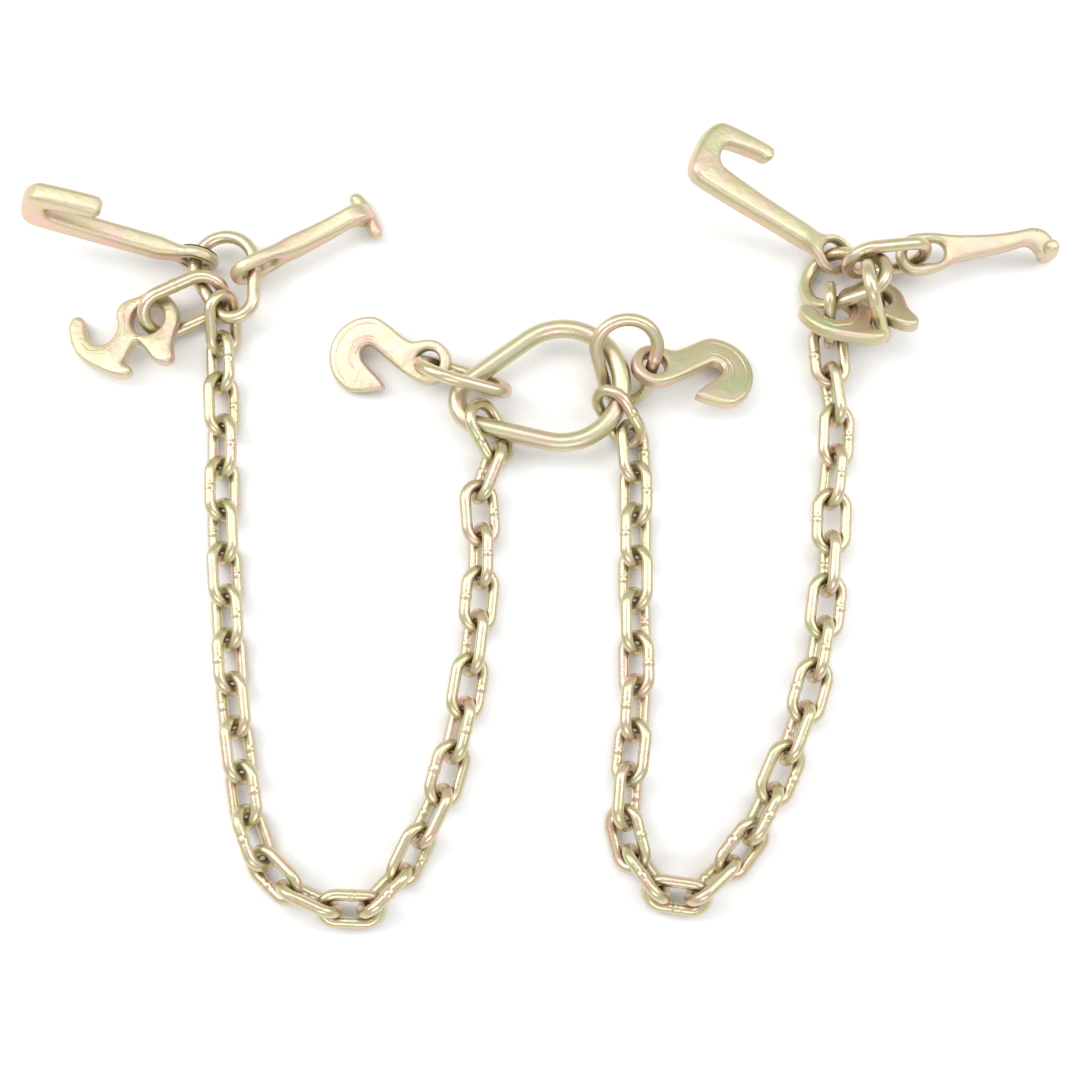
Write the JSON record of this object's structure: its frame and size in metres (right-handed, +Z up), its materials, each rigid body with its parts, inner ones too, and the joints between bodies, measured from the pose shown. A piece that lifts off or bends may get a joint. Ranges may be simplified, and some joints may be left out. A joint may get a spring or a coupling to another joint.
{
  "type": "v-chain tow bridle",
  "caption": "Yellow zinc V-chain bridle: pear link, two chain legs, oval rings with J, T and R hooks, and grab hooks on short rings.",
  "frame": {"origin": "centre of the laid-out bridle at floor level", "axes": "+Z up from the floor; +X across the two legs, towards the leg drawn on the right; +Y from the loops of the legs towards the hooks"},
  "size_m": [0.7354, 0.5596, 0.0843],
  "materials": {
    "chain_zinc": "yellow chromate zinc plating, satin, iridescent",
    "ring_zinc": "yellow chromate zinc plating, satin, iridescent",
    "pear_zinc": "yellow chromate zinc plating, satin, iridescent",
    "hook_zinc": "yellow chromate zinc plating on a fine forged skin"
  },
  "bodies": {
    "pear_link": {"pear_link": "pear_zinc"},
    "grab_ring_left": {"grab_ring_left": "ring_zinc"},
    "grab_hook_left": {"grab_hook_left": "hook_zinc"},
    "grab_ring_right": {"grab_ring_right": "ring_zinc"},
    "grab_hook_right": {"grab_hook_right": "hook_zinc"},
    "link_left_28": {"link_left_28": "chain_zinc"},
    "link_left_27": {"link_left_27": "chain_zinc"},
    "link_right_01": {"link_right_01": "chain_zinc"},
    "link_right_02": {"link_right_02": "chain_zinc"},
    "link_left_01": {"link_left_01": "chain_zinc"},
    "link_left_02": {"link_left_02": "chain_zinc"},
    "oval_ring_left": {"oval_ring_left": "ring_zinc"},
    "j_hook_left": {"j_hook_left": "hook_zinc"},
    "t_hook_left": {"t_hook_left": "hook_zinc"},
    "connecting_link_left": {"connecting_link_left": "ring_zinc"},
    "r_hook_left": {"r_hook_left": "hook_zinc"},
    "link_right_27": {"link_right_27": "chain_zinc"},
    "link_right_28": {"link_right_28": "chain_zinc"},
    "oval_ring_right": {"oval_ring_right": "ring_zinc"},
    "j_hook_right": {"j_hook_right": "hook_zinc"},
    "connecting_link_right_t": {"connecting_link_right_t": "ring_zinc"},
    "t_hook_right": {"t_hook_right": "hook_zinc"},
    "connecting_link_right_r": {"connecting_link_right_r": "ring_zinc"},
    "r_hook_right": {"r_hook_right": "hook_zinc"},
    "link_left_26": {"link_left_26": "chain_zinc"},
    "link_left_25": {"link_left_25": "chain_zinc"},
    "link_left_23_24": {"link_left_23_24": "chain_zinc"},
    "link_left_21_22": {"link_left_21_22": "chain_zinc"},
    "link_left_19_20": {"link_left_19_20": "chain_zinc"},
    "link_left_18": {"link_left_18": "chain_zinc"},
    "link_left_17": {"link_left_17": "chain_zinc"},
    "link_left_16": {"link_left_16": "chain_zinc"},
    "link_left_15": {"link_left_15": "chain_zinc"},
    "link_left_14": {"link_left_14": "chain_zinc"},
    "link_left_13": {"link_left_13": "chain_zinc"},
    "link_left_12": {"link_left_12": "chain_zinc"},
    "link_left_11": {"link_left_11": "chain_zinc"},
    "link_left_10": {"link_left_10": "chain_zinc"},
    "link_left_08_09": {"link_left_08_09": "chain_zinc"},
    "link_left_06_07": {"link_left_06_07": "chain_zinc"},
    "link_left_04_05": {"link_left_04_05": "chain_zinc"},
    "link_left_03": {"link_left_03": "chain_zinc"},
    "link_right_03": {"link_right_03": "chain_zinc"},
    "link_right_04_05": {"link_right_04_05": "chain_zinc"},
    "link_right_06_07": {"link_right_06_07": "chain_zinc"},
    "link_right_08_09": {"link_right_08_09": "chain_zinc"},
    "link_right_10": {"link_right_10": "chain_zinc"},
    "link_right_11": {"link_right_11": "chain_zinc"},
    "link_right_12": {"link_right_12": "chain_zinc"},
    "link_right_13": {"link_right_13": "chain_zinc"},
    "link_right_14": {"link_right_14": "chain_zinc"},
    "link_right_15": {"link_right_15": "chain_zinc"},
    "link_right_16": {"link_right_16": "chain_zinc"},
    "link_right_17": {"link_right_17": "chain_zinc"},
    "link_right_18": {"link_right_18": "chain_zinc"},
    "link_right_19_20": {"link_right_19_20": "chain_zinc"},
    "link_right_21_22": {"link_right_21_22": "chain_zinc"},
    "link_right_23_24": {"link_right_23_24": "chain_zinc"},
    "link_right_25": {"link_right_25": "chain_zinc"},
    "link_right_26": {"link_right_26": "chain_zinc"}
  },
  "joints": [
    {"name": "swing_grab_ring_left", "type": "hinge", "parent": "pear_link", "child": "grab_ring_left", "pos_m": [-0.04935, 0.10204, 0.01836], "axis": [0.8099, 0.5861, 0.0233], "range_deg": [-75, 17]},
    {"name": "swing_grab_hook_left", "type": "hinge", "parent": "grab_ring_left", "child": "grab_hook_left", "pos_m": [-0.08146, 0.11451, 0.01675], "axis": [0.5371, 0.1882, -0.8223], "range_deg": [-14, 26]},
    {"name": "swing_grab_ring_right", "type": "hinge", "parent": "pear_link", "child": "grab_ring_right", "pos_m": [0.05455, 0.10708, 0.0232], "axis": [0.2971, -0.954, 0.0393], "range_deg": [-22, 75]},
    {"name": "swing_grab_hook_right", "type": "hinge", "parent": "grab_ring_right", "child": "grab_hook_right", "pos_m": [0.07769, 0.10964, 0.02378], "axis": [0.2529, 0.7061, 0.6614], "range_deg": [-17, 75]},
    {"name": "swing_link_left_28", "type": "hinge", "parent": "pear_link", "child": "link_left_28", "pos_m": [-0.0387, 0.06612, 0.01981], "axis": [0.9693, -0.2403, 0.0527], "range_deg": [-32, 75]},
    {"name": "swing_link_left_27", "type": "hinge", "parent": "link_left_28", "child": "link_left_27", "pos_m": [-0.03385, 0.04368, 0.01729], "axis": [-0.6872, 0.2471, 0.6831], "range_deg": [-37, 58]},
    {"name": "swing_link_right_01", "type": "hinge", "parent": "pear_link", "child": "link_right_01", "pos_m": [0.05173, 0.07765, 0.02383], "axis": [-0.3579, -0.9337, 0.0075], "range_deg": [-57, 37]},
    {"name": "swing_link_right_02", "type": "hinge", "parent": "link_right_01", "child": "link_right_02", "pos_m": [0.06533, 0.05805, 0.01161], "axis": [-0.629, -0.0911, -0.772], "range_deg": [-75, 52]},
    {"name": "swing_link_left_26", "type": "hinge", "parent": "link_left_27", "child": "link_left_26", "pos_m": [-0.0441, 0.0155, 0.01609], "axis": [-0.433, 0.1023, -0.8956], "range_deg": [-75, 75]},
    {"name": "swing_link_left_25", "type": "hinge", "parent": "link_left_26", "child": "link_left_25", "pos_m": [-0.04268, -0.0149, 0.01459], "axis": [0.909, -0.035, -0.4154], "range_deg": [-75, 75]},
    {"name": "swing_link_left_23_24", "type": "hinge", "parent": "link_left_25", "child": "link_left_23_24", "pos_m": [-0.04266, -0.04552, 0.01502], "axis": [-0.4785, -0.1272, -0.8688], "range_deg": [-75, 75]},
    {"name": "swing_link_left_21_22", "type": "hinge", "parent": "link_left_23_24", "child": "link_left_21_22", "pos_m": [-0.04936, -0.10623, 0.01478], "axis": [0.4734, -0.1908, 0.8599], "range_deg": [-75, 75]},
    {"name": "swing_link_left_19_20", "type": "hinge", "parent": "link_left_21_22", "child": "link_left_19_20", "pos_m": [-0.06155, -0.1662, 0.0146], "axis": [0.4762, -0.2438, 0.8449], "range_deg": [-75, 75]},
    {"name": "swing_link_left_18", "type": "hinge", "parent": "link_left_19_20", "child": "link_left_18", "pos_m": [-0.08382, -0.2229, 0.01439], "axis": [-0.4343, 0.3521, -0.8291], "range_deg": [-75, 22]},
    {"name": "swing_link_left_17", "type": "hinge", "parent": "link_left_18", "child": "link_left_17", "pos_m": [-0.0993, -0.24742, 0.01508], "axis": [-0.4441, 0.5718, 0.6898], "range_deg": [-17, 17]},
    {"name": "swing_link_left_16", "type": "hinge", "parent": "link_left_17", "child": "link_left_16", "pos_m": [-0.12053, -0.26618, 0.0124], "axis": [0.1303, 0.6231, -0.7712], "range_deg": [-75, 17]},
    {"name": "swing_link_left_15", "type": "hinge", "parent": "link_left_16", "child": "link_left_15", "pos_m": [-0.1479, -0.26372, 0.01646], "axis": [0.2144, 0.8299, 0.5152], "range_deg": [-57, 52]},
    {"name": "swing_link_left_14", "type": "hinge", "parent": "link_left_15", "child": "link_left_14", "pos_m": [-0.17407, -0.25104, 0.01456], "axis": [0.4491, 0.1145, -0.8861], "range_deg": [-75, 12]},
    {"name": "swing_link_left_13", "type": "hinge", "parent": "link_left_14", "child": "link_left_13", "pos_m": [-0.19071, -0.2279, 0.0133], "axis": [0.8224, 0.1037, 0.5594], "range_deg": [-75, 75]},
    {"name": "swing_link_left_12", "type": "hinge", "parent": "link_left_13", "child": "link_left_12", "pos_m": [-0.20126, -0.20037, 0.01351], "axis": [0.6225, 0.0908, -0.7773], "range_deg": [-75, 75]},
    {"name": "swing_link_left_11", "type": "hinge", "parent": "link_left_12", "child": "link_left_11", "pos_m": [-0.20564, -0.17017, 0.01392], "axis": [0.7792, -0.001, 0.6268], "range_deg": [-75, 75]},
    {"name": "swing_link_left_10", "type": "hinge", "parent": "link_left_11", "child": "link_left_10", "pos_m": [-0.21014, -0.13992, 0.01372], "axis": [0.6504, -0.0359, -0.7587], "range_deg": [-75, 75]},
    {"name": "swing_link_left_08_09", "type": "hinge", "parent": "link_left_10", "child": "link_left_08_09", "pos_m": [-0.2138, -0.10953, 0.01375], "axis": [0.7597, -0.0343, 0.6494], "range_deg": [-75, 75]},
    {"name": "swing_link_left_06_07", "type": "hinge", "parent": "link_left_08_09", "child": "link_left_06_07", "pos_m": [-0.21934, -0.04853, 0.01347], "axis": [-0.7384, 0.0639, -0.6714], "range_deg": [-37, 37]},
    {"name": "swing_link_left_04_05", "type": "hinge", "parent": "link_left_06_07", "child": "link_left_04_05", "pos_m": [-0.22392, 0.01252, 0.01335], "axis": [-0.7168, 0.0793, -0.6928], "range_deg": [-75, 75]},
    {"name": "swing_link_left_03", "type": "hinge", "parent": "link_left_04_05", "child": "link_left_03", "pos_m": [-0.22576, 0.07374, 0.01346], "axis": [0.6924, -0.1123, 0.7127], "range_deg": [-75, 75]},
    {"name": "swing_link_left_02", "type": "hinge", "parent": "link_left_03", "child": "link_left_02", "pos_m": [-0.22738, 0.10428, 0.01451], "axis": [0.728, -0.068, -0.6822], "range_deg": [-75, 75]},
    {"name": "swing_link_left_01", "type": "hinge", "parent": "link_left_02", "child": "link_left_01", "pos_m": [-0.22744, 0.13484, 0.01533], "axis": [0.6428, -0.3152, 0.6981], "range_deg": [-37, 75]},
    {"name": "swing_oval_ring_left", "type": "hinge", "parent": "link_left_01", "child": "oval_ring_left", "pos_m": [-0.22163, 0.16043, 0.0215], "axis": [-0.4532, 0.5065, 0.7335], "range_deg": [-7, 0]},
    {"name": "swing_j_hook_left", "type": "hinge", "parent": "oval_ring_left", "child": "j_hook_left", "pos_m": [-0.24746, 0.19224, 0.01618], "axis": [-0.3615, -0.9323, 0.0121], "range_deg": [-33, 48]},
    {"name": "swing_t_hook_left", "type": "hinge", "parent": "oval_ring_left", "child": "t_hook_left", "pos_m": [-0.20524, 0.18406, 0.02212], "axis": [-0.0316, 0.9973, -0.0667], "range_deg": [-75, 75]},
    {"name": "swing_connecting_link_left", "type": "hinge", "parent": "oval_ring_left", "child": "connecting_link_left", "pos_m": [-0.23917, 0.16471, 0.01897], "axis": [0.5093, -0.8524, 0.1189], "range_deg": [-75, 2]},
    {"name": "swing_r_hook_left", "type": "hinge", "parent": "connecting_link_left", "child": "r_hook_left", "pos_m": [-0.28109, 0.14373, 0.01489], "axis": [0.4494, -0.6127, -0.6501], "range_deg": [-7, 17]},
    {"name": "swing_link_right_03", "type": "hinge", "parent": "link_right_02", "child": "link_right_03", "pos_m": [0.06582, 0.03004, 0.01333], "axis": [-0.7307, 0.0856, 0.6773], "range_deg": [-75, 75]},
    {"name": "swing_link_right_04_05", "type": "hinge", "parent": "link_right_03", "child": "link_right_04_05", "pos_m": [0.06553, -0.00067, 0.01332], "axis": [0.6989, -0.1278, 0.7037], "range_deg": [-60, 60]},
    {"name": "swing_link_right_06_07", "type": "hinge", "parent": "link_right_04_05", "child": "link_right_06_07", "pos_m": [0.06457, -0.06103, 0.01382], "axis": [0.7407, 0.1231, 0.6605], "range_deg": [-75, 75]},
    {"name": "swing_link_right_08_09", "type": "hinge", "parent": "link_right_06_07", "child": "link_right_08_09", "pos_m": [0.06458, -0.12137, 0.01396], "axis": [-0.7757, 0.1254, -0.6185], "range_deg": [-60, 60]},
    {"name": "swing_link_right_10", "type": "hinge", "parent": "link_right_08_09", "child": "link_right_10", "pos_m": [0.05848, -0.18141, 0.01459], "axis": [-0.82, -0.0361, -0.5712], "range_deg": [-60, 60]},
    {"name": "swing_link_right_11", "type": "hinge", "parent": "link_right_10", "child": "link_right_11", "pos_m": [0.05713, -0.21131, 0.01302], "axis": [0.557, 0.0796, -0.8267], "range_deg": [-43, 48]},
    {"name": "swing_link_right_12", "type": "hinge", "parent": "link_right_11", "child": "link_right_12", "pos_m": [0.06652, -0.237, 0.01431], "axis": [-0.675, -0.5516, -0.49], "range_deg": [-75, 75]},
    {"name": "swing_link_right_13", "type": "hinge", "parent": "link_right_12", "child": "link_right_13", "pos_m": [0.08292, -0.25671, 0.01185], "axis": [-0.0685, 0.6117, -0.7882], "range_deg": [-12, 75]},
    {"name": "swing_link_right_14", "type": "hinge", "parent": "link_right_13", "child": "link_right_14", "pos_m": [0.1078, -0.25399, 0.01876], "axis": [-0.7426, 0.6043, 0.2887], "range_deg": [-75, 62]},
    {"name": "swing_link_right_15", "type": "hinge", "parent": "link_right_14", "child": "link_right_15", "pos_m": [0.12888, -0.23412, 0.01335], "axis": [-0.4557, 0.0697, -0.8874], "range_deg": [-37, 75]},
    {"name": "swing_link_right_16", "type": "hinge", "parent": "link_right_15", "child": "link_right_16", "pos_m": [0.14491, -0.20945, 0.01392], "axis": [0.8387, -0.1813, -0.5136], "range_deg": [-32, 75]},
    {"name": "swing_link_right_17", "type": "hinge", "parent": "link_right_16", "child": "link_right_17", "pos_m": [0.15815, -0.18542, 0.01539], "axis": [-0.4115, 0.072, -0.9085], "range_deg": [-75, 75]},
    {"name": "swing_link_right_18", "type": "hinge", "parent": "link_right_17", "child": "link_right_18", "pos_m": [0.16992, -0.15765, 0.0157], "axis": [-0.8939, 0.2513, 0.3712], "range_deg": [-75, 75]},
    {"name": "swing_link_right_19_20", "type": "hinge", "parent": "link_right_18", "child": "link_right_19_20", "pos_m": [0.18082, -0.12951, 0.01561], "axis": [-0.3677, 0.0068, -0.9299], "range_deg": [-60, 60]},
    {"name": "swing_link_right_21_22", "type": "hinge", "parent": "link_right_19_20", "child": "link_right_21_22", "pos_m": [0.19483, -0.07087, 0.01583], "axis": [-0.3104, -0.0677, -0.9482], "range_deg": [-22, 75]},
    {"name": "swing_link_right_23_24", "type": "hinge", "parent": "link_right_21_22", "child": "link_right_23_24", "pos_m": [0.2013, -0.01087, 0.01603], "axis": [0.2463, 0.1066, 0.9633], "range_deg": [-75, 17]},
    {"name": "swing_link_right_25", "type": "hinge", "parent": "link_right_23_24", "child": "link_right_25", "pos_m": [0.2058, 0.05124, 0.01471], "axis": [0.4245, 0.0638, 0.9032], "range_deg": [-75, 75]},
    {"name": "swing_link_right_26", "type": "hinge", "parent": "link_right_25", "child": "link_right_26", "pos_m": [0.20664, 0.08094, 0.01641], "axis": [0.8832, 0.0892, -0.4604], "range_deg": [-52, 22]},
    {"name": "swing_link_right_27", "type": "hinge", "parent": "link_right_26", "child": "link_right_27", "pos_m": [0.20351, 0.11099, 0.01525], "axis": [0.21, 0.1867, 0.9597], "range_deg": [-62, 75]},
    {"name": "swing_link_right_28", "type": "hinge", "parent": "link_right_27", "child": "link_right_28", "pos_m": [0.20453, 0.14019, 0.01589], "axis": [0.9929, -0.0653, -0.0991], "range_deg": [-4, 11]},
    {"name": "swing_oval_ring_right", "type": "hinge", "parent": "link_right_28", "child": "oval_ring_right", "pos_m": [0.20529, 0.16646, 0.02065], "axis": [0.1138, -0.4162, -0.9021], "range_deg": [-1, 0]},
    {"name": "swing_j_hook_right", "type": "hinge", "parent": "oval_ring_right", "child": "j_hook_right", "pos_m": [0.20982, 0.19629, 0.01386], "axis": [-0.8339, -0.1327, -0.5357], "range_deg": [0, 20]},
    {"name": "swing_connecting_link_right_t", "type": "hinge", "parent": "oval_ring_right", "child": "connecting_link_right_t", "pos_m": [0.23309, 0.18711, 0.0331], "axis": [-0.7115, 0.3477, -0.6106], "range_deg": [-7, 3]},
    {"name": "swing_t_hook_right", "type": "hinge", "parent": "connecting_link_right_t", "child": "t_hook_right", "pos_m": [0.27289, 0.19453, 0.02038], "axis": [-0.0758, -0.232, -0.9697], "range_deg": [-75, 17]},
    {"name": "swing_connecting_link_right_r", "type": "hinge", "parent": "oval_ring_right", "child": "connecting_link_right_r", "pos_m": [0.23222, 0.15947, 0.0417], "axis": [0.8174, 0.3627, 0.4475], "range_deg": [-17, 1]},
    {"name": "swing_r_hook_right", "type": "hinge", "parent": "connecting_link_right_r", "child": "r_hook_right", "pos_m": [0.23929, 0.16244, 0.01385], "axis": [-0.3041, 0.5348, 0.7884], "range_deg": [-1, 0]}
  ]
}
